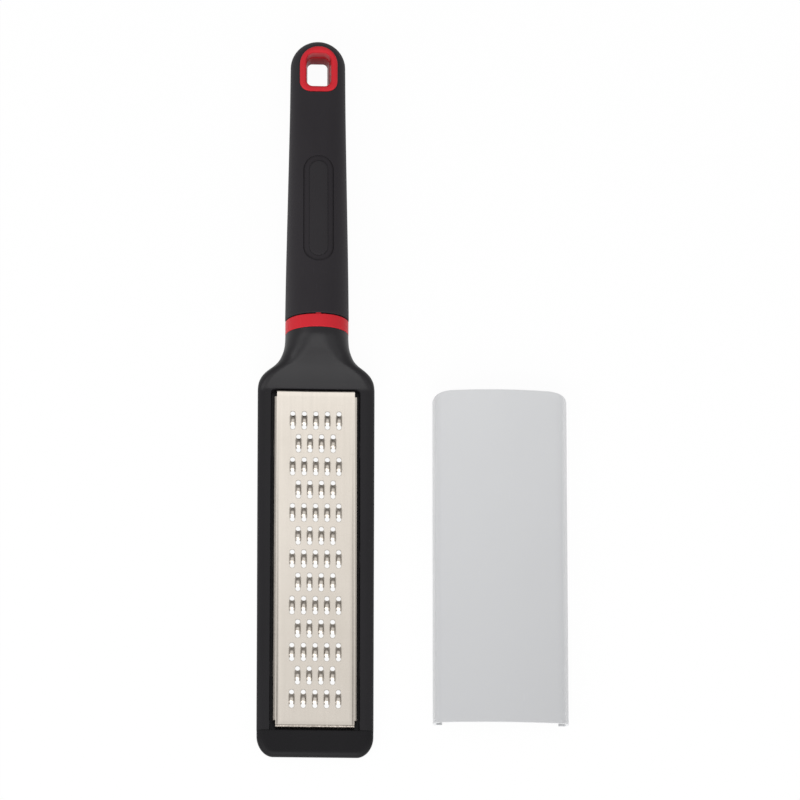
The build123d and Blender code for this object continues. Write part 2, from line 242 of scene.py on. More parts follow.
# Spark-etched mould grain: fine pits over a slow mottle of the same surface
def makeMouldGrain(values):
    tree, end = newGroup("mouldGrain", ("grain", "mottle"))
    pits = combined(tree, "MULTIPLY", stretchedNoise(tree, *values["pits"]), values["pitShare"])
    coarse = combined(tree, "MULTIPLY", stretchedNoise(tree, *values["coarse"]), 1 - values["pitShare"])
    tree.links.new(combined(tree, "ADD", pits, coarse), end.inputs["grain"])
    mottle = stretchedNoise(tree, *values["mottle"])
    tree.links.new(ranged(tree, mottle, *values["mottleRange"]), end.inputs["mottle"])
    return tree


# Light scuffs from handling: long thin strokes at two angles, broken up by a slow noise
def makeScuffs(values):
    tree, end = newGroup("handlingScuffs", ("scuff",))
    along, across, patch = (
        ranged(tree, stretchedNoise(tree, *values[name]), *values[name + "Range"])
        for name in ("along", "across", "patch")
    )
    strokes = combined(tree, "MAXIMUM", along, across)
    tree.links.new(combined(tree, "MULTIPLY", strokes, patch), end.inputs["scuff"])
    return tree


mouldGrain = makeMouldGrain(mouldEtch)
handlingScuffs = makeScuffs(handling)


# Material with its own Principled shader; gives the material, its tree and the shader
def newMaterial(name):
    material = bpy.data.materials.new(name)
    material.use_nodes = True
    tree = material.node_tree
    tree.nodes.clear()
    shader = tree.nodes.new("ShaderNodeBsdfPrincipled")
    output = tree.nodes.new("ShaderNodeOutputMaterial")
    tree.links.new(shader.outputs[0], output.inputs["Surface"])
    return material, tree, shader


# A group's node in a material
def useGroup(tree, group):
    node = tree.nodes.new("ShaderNodeGroup")
    node.node_tree = group
    return node


# Colour between two plain colours, or between a linked colour and a plain one; sockets 6 and 7 take the two
def mixedColor(tree, share, first, second):
    node = tree.nodes.new("ShaderNodeMix")
    node.data_type = "RGBA"
    tree.links.new(share, node.inputs[0])
    for socket, value in ((node.inputs[6], first), (node.inputs[7], second)):
        if isinstance(value, tuple):
            socket.default_value = (*value, 1)
        else:
            tree.links.new(value, socket)
    return node.outputs[2]


# Height times the distance, turned into a normal for the shader
def addBump(tree, shader, height, strength, distance):
    bump = tree.nodes.new("ShaderNodeBump")
    bump.inputs["Strength"].default_value = strength
    bump.inputs["Distance"].default_value = distance
    tree.links.new(height, bump.inputs["Height"])
    tree.links.new(bump.outputs[0], shader.inputs["Normal"])


# Moulded plastic or rubber: mottled colour, grain in bump and roughness, scuffs that lighten and dull
def mouldedPlastic(values):
    material, tree, shader = newMaterial(values["name"])
    grain = useGroup(tree, mouldGrain)
    scuffs = useGroup(tree, handlingScuffs)
    body = mixedColor(tree, grain.outputs["mottle"], values["color"], values["mottleColor"])
    # painted shade from the mesh's attribute, where a piece has one
    if "holeShadeColor" in values:
        paintedHoleShade = tree.nodes.new("ShaderNodeAttribute")
        paintedHoleShade.attribute_name = "paintedHoleShade"
        body = mixedColor(tree, paintedHoleShade.outputs["Fac"], body, values["holeShadeColor"])
    worn = combined(tree, "MULTIPLY", scuffs.outputs["scuff"], values["scuffShare"])
    tree.links.new(mixedColor(tree, worn, body, values["scuffColor"]), shader.inputs["Base Color"])
    rough = ranged(tree, grain.outputs["mottle"], 0.0, 1.0, *values["roughness"])
    rough = combined(tree, "ADD", rough, combined(tree, "MULTIPLY", worn, handling["dulling"]))
    tree.links.new(rough, shader.inputs["Roughness"])
    shader.inputs["Specular IOR Level"].default_value = values["gloss"]
    addBump(tree, shader, grain.outputs["grain"], values["grainStrength"], values["grainDepth"])
    return material


# Puts a material into a CAD node's slots
def dress(nodeName, material):
    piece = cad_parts[nodeName]
    if not piece.material_slots:
        piece.data.materials.append(material)
    for slot in piece.material_slots:
        slot.link = "OBJECT"
        slot.material = material


# Mesh from whole arrays; a mask is a name and one value for each point
def newMesh(name, vertices, faces, mask=None):
    mesh = bpy.data.meshes.new(name)
    mesh.from_pydata(vertices.reshape(-1, 3), [], faces)
    if mask:
        layer = mesh.attributes.new(mask[0], "FLOAT", "POINT")
        layer.data.foreach_set("value", mask[1])
    return mesh


# The same with points that lie on each other made one
def weldedMesh(name, vertices, faces, mask=None):
    mesh = newMesh(name, vertices, faces, mask)
    work = bmesh.new()
    work.from_mesh(mesh)
    bmesh.ops.remove_doubles(work, verts=work.verts, dist=weldReach)
    work.to_mesh(mesh)
    work.free()
    return mesh


# Object at the origin from a mesh, smooth but for edges sharper than the crease angle
def placePiece(mesh, material, body, node, crease=35.0):
    mesh.shade_smooth()
    mesh.set_sharp_from_angle(angle=math.radians(crease))
    mesh.materials.clear()
    mesh.materials.append(material)
    piece = bpy.data.objects.new(mesh.name, mesh)
    bpy.context.collection.objects.link(piece)
    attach(piece, body)
    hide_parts(node)


print("node groups ready")

# Finishes
gripRubber = {
    "name": "gripRubber",
    "color": (0.0222, 0.0200, 0.0227),
    "mottleColor": (0.0258, 0.0235, 0.0264),
    "scuffColor": (0.060, 0.058, 0.060),
    "scuffShare": 0.18,
    "roughness": (0.50, 0.60),
    "gloss": 0.07,
    "grainStrength": 0.25,
    "grainDepth": 0.00006,
}
framePlastic = {
    "name": "framePlastic",
    "color": (0.0070, 0.0064, 0.0077),
    "mottleColor": (0.0088, 0.0081, 0.0096),
    "scuffColor": (0.060, 0.058, 0.062),
    "scuffShare": 0.12,
    "roughness": (0.38, 0.46),
    "gloss": 0.2,
    "grainStrength": 0.2,
    "grainDepth": 0.00005,
}
bumperRubber = {
    "name": "bumperRubber",
    "color": (0.0058, 0.0055, 0.0064),
    "mottleColor": (0.0074, 0.0070, 0.0080),
    "scuffColor": (0.050, 0.048, 0.050),
    "scuffShare": 0.15,
    "roughness": (0.46, 0.56),
    "gloss": 0.125,
    "grainStrength": 0.25,
    "grainDepth": 0.00006,
}
redPlastic = {
    "name": "redPlastic",
    "color": (0.533, 0.026, 0.036),
    "mottleColor": (0.500, 0.022, 0.031),
    "holeShadeColor": (0.40, 0.010, 0.018),       # painted shade inside the hanging hole
    "scuffColor": (0.70, 0.08, 0.08),
    "scuffShare": 0.2,
    "roughness": (0.28, 0.36),
    "gloss": 0.03,
    "grainStrength": 0.08,
    "grainDepth": 0.00003,
}
badgePlastic = {
    "name": "badgePlastic",
    "color": (0.0165, 0.0150, 0.0170),
    "mottleColor": (0.0198, 0.0180, 0.0203),
    "scuffColor": (0.07, 0.068, 0.07),
    "scuffShare": 0.25,
    "roughness": (0.46, 0.54),
    "gloss": 0.15,
    "grainStrength": 0.35,
    "grainDepth": 0.00008,
}
corePlastic = {
    "name": "corePlastic",
    "color": (0.014, 0.013, 0.014),
    "mottleColor": (0.018, 0.017, 0.018),
    "scuffColor": (0.06, 0.06, 0.06),
    "scuffShare": 0.1,
    "roughness": (0.45, 0.55),
    "gloss": 0.2,
    "grainStrength": 0.15,
    "grainDepth": 0.00005,
}

# Moulded bodies: soft sections carried along the handle, cut by plain tools
bodySteps = {
    "cornerSteps": 14,           # points round a quarter of a section
    "arcSteps": 16,              # points round a quarter of an outline
}


# Smooth curve through a table of (place, value) pairs: cubic pieces whose slopes come from the neighbours
def smoothLine(table, y):
    places, values = np.array(table).T * mm
    slopes = np.gradient(values, places)
    at = np.clip(np.searchsorted(places, y) - 1, 0, len(places) - 2)
    step = places[at + 1] - places[at]
    share = np.clip((y - places[at]) / step, 0, 1)
    start = 2 * share**3 - 3 * share**2 + 1
    leave = (share**3 - 2 * share**2 + share) * step
    arrive = (share**3 - share**2) * step
    return start * values[at] + leave * slopes[at] + (1 - start) * values[at + 1] + arrive * slopes[at + 1]


# One closed section for each y: two wide quarter ellipses above the widest height, two below it, joined by
# straight lines along the top and the bottom
def softSections(y, half, low, high, widest, side, lowSide):
    turn = np.linspace(0, math.pi / 2, bodySteps["cornerSteps"] + 1)
    sizes = (half, low, high, widest, side, lowSide)
    half, low, high, widest, side, lowSide = ((size * np.ones_like(y))[:, None] for size in sizes)
    topX = half - side + side * np.cos(turn)
    topZ = widest + (high - widest) * np.sin(turn)
    lowX = half - lowSide + lowSide * np.cos(turn)
    lowZ = widest - (widest - low) * np.sin(turn)
    x = np.concatenate([topX, -topX[:, ::-1], -lowX[:, 1:], lowX[:, :0:-1]], axis=1)
    z = np.concatenate([topZ, topZ[:, ::-1], lowZ[:, 1:], lowZ[:, :0:-1]], axis=1)
    return np.stack([x, np.broadcast_to(y[:, None], x.shape), z], axis=-1)


# Numbers of a grid's points, row by row
def gridIndex(rows, columns, start=0):
    return start + np.arange(rows * columns).reshape(rows, columns)


# Quads between neighbouring rows of numbers, where each row is a closed loop
def loopQuads(index):
    turned = np.roll(index, -1, axis=1)
    return np.stack([index[:-1], index[1:], turned[1:], turned[:-1]], axis=-1).reshape(-1, 4)


# Quads between neighbouring loops and a flat cap at both ends
def carriedFaces(loops, count):
    index = gridIndex(loops, count)
    return loopQuads(index).tolist() + [index[0].tolist(), index[-1, ::-1].tolist()]


# Outline in plan from four quarter arcs, anticlockwise from the lower right: each has its centre and radius
def fourArcs(centres, radii):
    turn = np.linspace(0, math.pi / 2, bodySteps["arcSteps"] + 1)
    starts = np.array([-math.pi / 2, 0, math.pi / 2, math.pi])
    angle = starts[:, None] + turn
    radii = np.array(radii)[:, None]
    x = np.array(centres)[:, :1] + radii * np.cos(angle)
    y = np.array(centres)[:, 1:] + radii * np.sin(angle)
    return np.stack([x, y], axis=-1).reshape(-1, 2)


# Rectangle in plan with its own corner radius at the near and at the far end
def softRectangle(halfWidth, nearY, farY, nearRadius, farRadius):
    centres = [
        (halfWidth - nearRadius, nearY + nearRadius),
        (halfWidth - farRadius, farY - farRadius),
        (farRadius - halfWidth, farY - farRadius),
        (nearRadius - halfWidth, nearY + nearRadius),
    ]
    return fourArcs(centres, (nearRadius, farRadius, farRadius, nearRadius))


# Outlines in plan stacked at heights, closed above and below
def stackedOutlines(outlines, heights):
    count = len(outlines[0])
    vertices = np.empty((len(outlines), count, 3))
    vertices[..., :2] = np.array(outlines)
    vertices[..., 2] = np.array(heights)[:, None]
    faces = carriedFaces(len(outlines), count)
    return vertices.reshape(-1, 3), [face[::-1] for face in faces]


# Body less its tools, by Blender's exact boolean; the helper objects are removed again
def cutMesh(name, body, tools):
    made = []
    for vertices, faces in [body] + tools:
        helper = bpy.data.objects.new("tool", weldedMesh("tool", vertices, faces))
        bpy.context.collection.objects.link(helper)
        made.append(helper)
    for tool in made[1:]:
        cut = made[0].modifiers.new("cut", "BOOLEAN")
        cut.operation = "DIFFERENCE"
        cut.solver = "EXACT"
        cut.object = tool
    bpy.context.view_layer.update()
    seen = made[0].evaluated_get(bpy.context.evaluated_depsgraph_get())
    result = bpy.data.meshes.new_from_object(seen)
    result.name = name
    for helper in made:
        mesh = helper.data
        bpy.data.objects.remove(helper)
        bpy.data.meshes.remove(mesh)
    return result


# Frame: flat paddle with domed rails, swept up into the neck. The tables here and at the grip hold the place
# along Y and the size there, in millimetres
frameShape = {
    "tipY": -148.7 * mm,
    "paddleY": (-100 * mm, -50 * mm),        # sections between the tip and the sweep
    "sweepStart": -6 * mm,
    "sweepSections": 60,
    "neckEnd": 23.0 * mm,
    "crease": 40.0,
    "edge": 0.15 * mm,           # softened edge at the collar
    "half": [
        (-150, 24.8), (-75, 24.95), (-6, 25.1), (-2, 25.1), (0.7, 25.05), (2.0, 24.9), (3.3, 24.6),
        (4.6, 24.05), (5.9, 23.2), (7.2, 21.95), (8.4, 20.4), (9.6, 18.65), (10.85, 17.2), (12.05, 16.15),
        (13.3, 15.4), (14.5, 14.85), (15.7, 14.4), (17.0, 14.02), (18.25, 13.8), (19.5, 13.68),
        (20.8, 13.6), (23.0, 13.55),
    ],
    "high": [
        (-150, 5.4), (-3, 5.4), (-1.2, 5.4), (-0.4, 5.55), (0.7, 6.12), (2, 6.9), (4, 8.15), (8, 11.1),
        (12, 15.0), (16, 19.2), (20, 22.3), (23.0, 23.35),
    ],
    "widest": [
        (-150, 2.7), (-3, 2.7), (0, 2.7), (5.9, 3.0), (9.6, 4.0), (13.3, 5.4), (17, 6.5), (20.8, 7.2),
        (23, 7.4),
    ],
    "side": [
        (-150, 4.4), (-3, 4.4), (0, 4.4), (4, 5.6), (8, 8.2), (12, 11.2), (16, 12.8), (20, 13.0),
        (23, 12.9),
    ],
    "lowSide": [(-150, 2.2), (-3, 2.2), (0, 2.4), (8, 5.0), (16, 8.0), (23, 9.0)],
    "recessHalf": 18.95 * mm,
    "recessFar": -0.45 * mm,
    "recessShift": -0.3 * mm,
    "recessCorner": 1.6 * mm,
    "ledge": 1.9 * mm,
    "bevelHeight": 0.45 * mm,
    "bevelSide": 0.3 * mm,
    "bevelEnd": 0.3 * mm,
    "windowHalf": 15.8 * mm,
    "windowNear": -144.7 * mm,
    "windowFar": -4.0 * mm,
    "windowCorner": 2.5 * mm,
    "windowHeights": (-1.9 * mm, 2.85 * mm),
    "cutPast": 10 * mm,          # the recess runs out past the tip
    "cutTop": 16.2 * mm,
}


# Frame body: sections along Y, close together where the shoulder sweeps in
def frameBody(values):
    sweep = np.linspace(values["sweepStart"], values["neckEnd"] - values["edge"], values["sweepSections"])
    y = np.concatenate([[values["tipY"], *values["paddleY"]], sweep, [values["neckEnd"]]])
    sizes = {key: smoothLine(values[key], y) for key in ("half", "high", "widest", "side", "lowSide")}
    inset = np.zeros_like(y)
    inset[-1] = values["edge"]
    half, high = sizes["half"] - inset, sizes["high"] - inset
    rings = softSections(y, half, inset, high, sizes["widest"], sizes["side"], sizes["lowSide"])
    return rings, carriedFaces(*rings.shape[:2])


# Recess tool: soft rectangle, straight up to the bevel and widening through it
def recessTool(values):
    near, far = values["tipY"] - values["cutPast"], values["recessFar"]
    half, corner, side = values["recessHalf"], values["recessCorner"], values["bevelSide"]
    plain = softRectangle(half, near, far, corner, corner)
    wide = softRectangle(half + side, near, far + values["bevelEnd"], corner + side, corner + side)
    top = values["high"][0][1] * mm
    heights = [values["ledge"], top - values["bevelHeight"], top, values["cutTop"]]
    vertices, faces = stackedOutlines([plain, plain, wide, wide], heights)
    return vertices + [values["recessShift"], 0, 0], faces


# Window tool: soft rectangle straight through the floor of the recess
def windowTool(values):
    corner = values["windowCorner"]
    outline = softRectangle(values["windowHalf"], values["windowNear"], values["windowFar"], corner, corner)
    return stackedOutlines([outline, outline], values["windowHeights"])


frameMesh = cutMesh("frameMoulding", frameBody(frameShape), [recessTool(frameShape), windowTool(frameShape)])
placePiece(
    frameMesh, mouldedPlastic(framePlastic), "rasp", "frame", frameShape["crease"]
)
print("frame moulding:", len(frameMesh.polygons), "faces")

# Bumper: soft cap with wide round corners
bumperShape = {
    "jointY": -148.74 * mm,
    "length": 11.3 * mm,
    "half": 24.75 * mm,
    "cornerAcross": 7.3 * mm,
    "cornerAlong": 9.0 * mm,
    "top": 5.7 * mm,
    "edgeAlong": 2.4 * mm,       # rounding of the front edge, seen from the side
    "jointEdge": 0.5 * mm,       # rounding at the parting line, along and down
    "jointDrop": 0.4 * mm,
    "side": 4.2 * mm,
    "lowSide": 2.2 * mm,
    "sections": 40,
    "sectionTurn": (0.02, 0.8 * math.pi),    # sections stand closest at the tip
    "lastShares": (0.93, 0.985, 1.0),
}


# Bumper body: width falls off by a quarter ellipse near the tip, height by a shorter one
def bumperBody(values):
    turn = np.linspace(*values["sectionTurn"], values["sections"])
    last = np.sort([*values["lastShares"], 1 - values["jointEdge"] / values["length"]])
    fromTip = values["length"] * np.concatenate([0.5 - 0.5 * np.cos(turn), last])
    along = np.clip(1 - fromTip / values["cornerAlong"], 0, 1)
    half = values["half"] - values["cornerAcross"] * (1 - np.sqrt(1 - along**2))
    front = np.sqrt(1 - np.clip(1 - fromTip / values["edgeAlong"], 0, 1) ** 2)
    middle = values["top"] / 2
    rear = np.clip(1 - (values["length"] - fromTip) / values["jointEdge"], 0, 1)
    drop = values["jointDrop"] * (1 - np.sqrt(1 - rear**2))
    high = middle + middle * front - drop
    low = middle - middle * front
    y = values["jointY"] - values["length"] + fromTip
    rings = softSections(y, half, low, high, middle, values["side"] * front, values["lowSide"] * front)
    return rings, carriedFaces(*rings.shape[:2])


bumperRings, bumperFaces = bumperBody(bumperShape)
bumperMesh = weldedMesh("bumperCap", bumperRings, bumperFaces)
placePiece(bumperMesh, mouldedPlastic(bumperRubber), "rasp", "tip_bumper")
print("bumper cap:", len(bumperFaces), "faces")

# Collar: red band between neck and grip, with the nib that keys the grip
collarShape = {
    "startY": 23.04 * mm,
    "endY": 28.7 * mm,
    "half": 13.6 * mm,
    "high": 23.4 * mm,
    "widest": 7.4 * mm,
    "side": 12.6 * mm,
    "lowSide": 9.0 * mm,
    "edge": 0.2 * mm,
    "nibHalf": 1.1 * mm,
    "nibDepth": 1.4 * mm,
    "nibLength": 0.45 * mm,
    "nibCorner": 0.1 * mm,
}


# Collar body: one section, drawn in a little at both edges, and a small block on top
def collarBody(values):
    edge = values["edge"]
    y = np.array([values["startY"], values["startY"] + edge, values["endY"] - edge, values["endY"]])
    inset = np.array([edge, 0, 0, edge])
    half, high = values["half"] - inset, values["high"] - inset
    rings = softSections(y, half, inset, high, values["widest"], values["side"], values["lowSide"])
    faces = carriedFaces(*rings.shape[:2])
    top, near, corner = values["high"], values["endY"], values["nibCorner"]
    nib = softRectangle(values["nibHalf"], near, near + values["nibLength"], corner, corner)
    nibVertices, nibFaces = stackedOutlines([nib, nib], [top - values["nibDepth"], top - edge])
    count = rings.shape[0] * rings.shape[1]
    faces += [[point + count for point in face] for face in nibFaces]
    return np.concatenate([rings.reshape(-1, 3), nibVertices]), faces


redMoulding = mouldedPlastic(redPlastic)
collarVertices, collarFaces = collarBody(collarShape)
collarMesh = weldedMesh("collarBand", collarVertices, collarFaces)
placePiece(collarMesh, redMoulding, "rasp", "collar")
print("collar band:", len(collarFaces), "faces")

# Grip: long tapering sleeve with a full-round end, a hole for the liner and a recess for the badge
gripShape = {
    "startY": 29.15 * mm,
    "centreY": 142.2 * mm,       # centre of the round end
    "edge": 0.3 * mm,
    "sections": 70,
    "endSections": 49,           # round the far end
    "crease": 40.0,
    "half": [(29.15, 13.7), (45, 13.5), (76.6, 12.92), (105, 12.36), (119.6, 12.1), (142.2, 11.85)],
    "high": [
        (29.15, 24.0), (35, 23.84), (45, 23.45), (76.6, 21.56), (105, 19.62), (119.6, 18.75), (142.2, 17.9),
    ],
    "low": [(29.15, 0.0), (45, 0.22), (76.6, 0.96), (105, 1.73), (119.6, 2.06), (142.2, 2.4)],
    "widest": [(29.15, 7.6), (76.6, 8.2), (119.6, 8.8), (142.2, 9.0)],
    "side": [(29.15, 12.8), (76.6, 11.6), (119.6, 9.2), (142.2, 8.6)],
    "lowSide": [(29.15, 9.0), (142.2, 7.5)],
    "linerHalf": 8.2 * mm,
    "linerCentre": 141.8 * mm,
    "linerNear": 129.1 * mm,
    "linerCorner": 5.2 * mm,
    "linerCut": (-5 * mm, 30 * mm),
    "badgeCentre": 76.2 * mm,
    "badgeLength": 42.75 * mm,
    "badgeWidth": 7.9 * mm,
    "badgeBorder": 2.6 * mm,     # sunk border round the badge
    "badgeDepth": 0.6 * mm,
    "badgeGap": 0.06 * mm,
    "badgeBottom": 1.94 * mm,
    "badgeOverlap": 0.2 * mm,    # the pad's pocket starts above the border's floor
    "borderCut": 3 * mm,
    "borderLoops": 8,
}


# Grip body: sections along Y, then the last half section turned half a round for the end
def gripBody(values):
    edge = values["edge"]
    sleeve = np.linspace(values["startY"] + edge, values["centreY"], values["sections"])
    y = np.concatenate([[values["startY"]], sleeve])
    sizes = {key: smoothLine(values[key], y) for key in ("half", "high", "low", "widest", "side", "lowSide")}
    inset = np.zeros_like(y)
    inset[0] = edge
    rings = softSections(
        y, sizes["half"] - inset, sizes["low"] + inset, sizes["high"] - inset,
        sizes["widest"], sizes["side"], sizes["lowSide"],
    )
    loops, count = rings.shape[:2]
    steps = bodySteps["cornerSteps"]
    index = gridIndex(loops, count)
    last = index[-1]
    rightSide = np.concatenate([last[-steps:], last[:steps + 1]])           # both bottom to top
    leftSide = last[steps + 1:3 * steps + 2][::-1]
    profile = rings[-1, rightSide - last[0]]
    angle = np.linspace(0, math.pi, values["endSections"])[1:-1]
    end = np.empty((len(angle), len(rightSide), 3))
    end[..., 0] = np.cos(angle)[:, None] * profile[:, 0]
    end[..., 1] = values["centreY"] + np.sin(angle)[:, None] * profile[:, 0]
    end[..., 2] = profile[:, 2]
    grid = np.concatenate([rightSide[None], gridIndex(*end.shape[:2], loops * count), leftSide[None]])
    endQuads = np.stack([grid[:-1, :-1], grid[1:, :-1], grid[1:, 1:], grid[:-1, 1:]], axis=-1).reshape(-1, 4)
    flats = [grid[:, -1].tolist(), grid[::-1, 0].tolist(), index[0].tolist()]       # top, bottom, collar end
    faces = loopQuads(index).tolist() + endQuads.tolist() + flats
    return np.concatenate([rings.reshape(-1, 3), end.reshape(-1, 3)]), faces


# Outline of the liner's place: round at the end, soft corners towards the grip
def linerOutline(half, near, centre, corner):
    centres = [(half - corner, near + corner), (0, centre), (0, centre), (corner - half, near + corner)]
    return fourArcs(centres, (corner, half, half, corner))


# Long slot in plan round the badge and its border: its outline, half width and straight half length
def badgeSlot(values, border):
    half = values["badgeWidth"] / 2 + border
    reach = values["badgeLength"] / 2 + border - half
    outline = fourArcs([(0, -reach), (0, reach), (0, reach), (0, -reach)], (half, half, half, half))
    return outline, half, reach


# Badge tool: the slot carried down, tilted with the crown line between the badge's two ends
def badgeTool(values, border, bottom, top):
    ends = values["badgeCentre"] + np.array([-0.5, 0.5]) * values["badgeLength"]
    crown = smoothLine(values["high"], ends)
    slope = (crown[1] - crown[0]) / values["badgeLength"]
    slot = badgeSlot(values, border)[0]
    vertices, faces = stackedOutlines([slot, slot], [-bottom, -top])
    vertices[:, 2] += crown.mean() + vertices[:, 1] * slope
    vertices[:, 1] += values["badgeCentre"]
    return vertices, faces


# Height of the crown over a place in plan: the section's upper quarter ellipses with the flat between them
def crownHeight(values, x, y):
    half, high, widest, side = (smoothLine(values[key], y) for key in ("half", "high", "widest", "side"))
    beyond = np.clip((np.abs(x) - half + side) / side, 0, 1)
    return widest + (high - widest) * np.sqrt(1 - beyond**2)


# Closed body over the badge's slot: a cap at its own drop, then loops drawn in towards the slot's middle
# line, each at its drop below the crown
def crownedSlot(values, border, capDrop, insets, drops):
    outline, half, reach = badgeSlot(values, border)
    spine = np.stack([np.zeros(len(outline)), np.clip(outline[:, 1], -reach, reach)], axis=1)
    plan = spine + (outline - spine) * (1 - np.array([0, *insets]) / half)[:, None, None]
    plan[..., 1] += values["badgeCentre"]
    height = crownHeight(values, plan[..., 0], plan[..., 1]) - np.array([0, *drops])[:, None]
    height[0] = crownHeight(values, 0, plan[0, :, 1]) - capDrop
    faces = carriedFaces(*height.shape)[:-1]
    if capDrop > 0:
        faces = [face[::-1] for face in faces]
    return np.concatenate([plan, height[..., None]], axis=-1).reshape(-1, 3), faces


linerPlace = linerOutline(
    gripShape["linerHalf"], gripShape["linerNear"], gripShape["linerCentre"], gripShape["linerCorner"]
)
borderHalf = gripShape["badgeWidth"] / 2 + gripShape["badgeBorder"]
borderInsets = np.linspace(0, borderHalf, gripShape["borderLoops"])
borderDrops = np.full(gripShape["borderLoops"], gripShape["badgeDepth"])
gripTools = [
    stackedOutlines([linerPlace, linerPlace], gripShape["linerCut"]),
    crownedSlot(gripShape, gripShape["badgeBorder"], -gripShape["borderCut"], borderInsets, borderDrops),
    badgeTool(gripShape, gripShape["badgeGap"], gripShape["badgeBottom"], gripShape["badgeOverlap"]),
]
gripMesh = cutMesh("gripSleeve", gripBody(gripShape), gripTools)
placePiece(gripMesh, mouldedPlastic(gripRubber), "rasp", "grip", gripShape["crease"])
print("grip sleeve:", len(gripMesh.polygons), "faces")

# Badge: bare pad, its top just under the crown and its rim rounded over
badgeShape = {
    "bottom": 1.88 * mm,
    "top": 0.08 * mm,
    "edge": 0.32 * mm,
    "rimLoops": 6,
    "topLoops": 5,
    "crease": 40.0,
}


# Loops of the pad from its rim inwards, as insets and drops below the crown: a quarter circle, then level
def badgeLoops(values, half):
    edge, top, count = values["edge"], values["top"], values["topLoops"]
    turn = np.linspace(0, math.pi / 2, values["rimLoops"])
    insets = np.concatenate([edge * (1 - np.cos(turn)), np.linspace(edge, half, count + 1)[1:]])
    drops = np.concatenate([top + edge * (1 - np.sin(turn)), np.full(count, top)])
    return insets, drops


badgeFit = badgeLoops(badgeShape, gripShape["badgeWidth"] / 2)
badgeMesh = weldedMesh("badgePad", *crownedSlot(gripShape, 0.0, badgeShape["bottom"], *badgeFit))
placePiece(
    badgeMesh, mouldedPlastic(badgePlastic), "rasp", "badge_inlay", badgeShape["crease"]
)
print("badge pad:", len(badgeMesh.polygons), "faces")

# Liner: red ring through the grip, in two halves whose meeting line shows inside the hole
linerShape = {
    "low": 2.05 * mm,
    "high": 18.25 * mm,
    "gap": 0.08 * mm,
    "wall": 2.9 * mm,
    "openingNearRadius": 2.8 * mm,
    "openingFarRadius": 3.6 * mm,
    "rimShare": 0.27,            # rounding of the outer rim, as a share of the wall
    "rimDrop": 0.8 * mm,
    "mouthShare": 0.34,          # soft funnel round the opening
    "mouthDrop": 1.3 * mm,
    "crest": 0.04 * mm,          # the top swells a little between rim and mouth
    "throat": 3.0 * mm,
    "seam": 10.4 * mm,
    "seamShare": -0.12,          # the lower half stands in a little
    "seamLine": [                # share of that step, and millimetres over the seam
        (0, 2.0), (0, 0.1), (0.3, 0.0), (0.85, -0.05), (1.0, -0.25),
    ],
    "footShare": -0.34,          # and narrows towards the bottom
    "footRise": 0.9 * mm,
    "steps": 9,
    "holeShadeFade": (0.5 * mm, 1.2 * mm),        # below the top, the painted shade sets in and is full
    "holeShadeShares": (0.5, 0.3),                # and across the wall
    "seamReach": 0.2 * mm,       # the painted shade is weaker there: a painted highlight on the seam's edge
    "seamHoleShade": 0.35,
}


# Liner surface: a closed profile of (share of the wall, height), drawn between the opening and the outer
# outline, with a painted-shade value for each point of the profile
def linerArrays(values, grip):
    gap, wall, corner = values["gap"], values["wall"], grip["linerCorner"]
    outer = linerOutline(grip["linerHalf"] - gap, grip["linerNear"] + gap, grip["linerCentre"], corner - gap)
    inner = softRectangle(
        grip["linerHalf"] - wall, grip["linerNear"] + wall, grip["linerCentre"] + grip["linerHalf"] - wall,
        values["openingNearRadius"], values["openingFarRadius"],
    )
    turn = np.linspace(0, math.pi / 2, values["steps"])
    rim, drop, mouth, fall = values["rimShare"], values["rimDrop"], values["mouthShare"], values["mouthDrop"]
    low, high, seam, foot, rise = (values[key] for key in ("low", "high", "seam", "footShare", "footRise"))
    step = np.array(values["seamLine"]) * [values["seamShare"], mm] + [0, seam]
    profile = [
        np.stack([1 - rim + rim * np.cos(turn), high - drop + drop * np.sin(turn)], axis=1),
        np.array([[(1 - rim + mouth) / 2, high + values["crest"]]]),
        np.stack([mouth * (1 - np.sin(turn)), high - fall * (1 - np.cos(turn))], axis=1),
        np.array([[0, high - values["throat"]], *step, [foot, low + rise]]),
        np.stack([foot + mouth * (1 - np.cos(turn[1:])), low + rise * (1 - np.sin(turn[1:]))], axis=1),
        np.stack([1 - rim * (1 - np.sin(turn)), low + drop * (1 - np.cos(turn))], axis=1),
    ]
    share, height = np.concatenate(profile).T
    start, fade = values["holeShadeFade"]
    half, width = values["holeShadeShares"]
    # painted shade down inside the hole and near the opening, weaker along the seam's edge
    paintedHoleShade = np.clip((high - start - height) / fade, 0, 1) * np.clip((half - share) / width, 0, 1)
    paintedHoleShade *= np.where(np.abs(height - seam) < values["seamReach"], values["seamHoleShade"], 1.0)
    plan = inner[None] * (1 - share)[:, None, None] + outer[None] * share[:, None, None]
    vertices = np.empty((*plan.shape[:2], 3))
    vertices[..., :2] = plan
    vertices[..., 2] = height[:, None]
    index = gridIndex(*plan.shape[:2])
    nextLoop, nextPoint = np.roll(index, -1, axis=0), np.roll(index, -1, axis=1)
    both = np.roll(nextLoop, -1, axis=1)
    faces = np.stack([index, nextPoint, both, nextLoop], axis=-1).reshape(-1, 4).tolist()
    return vertices, faces, np.repeat(paintedHoleShade, plan.shape[1])


linerVertices, linerFaces, linerHoleShade = linerArrays(linerShape, gripShape)
linerMesh = weldedMesh("holeLiner", linerVertices, linerFaces, ("paintedHoleShade", linerHoleShade))
placePiece(linerMesh, redMoulding, "rasp", "hang_hole_liner")
print("hole liner:", len(linerFaces), "quads")

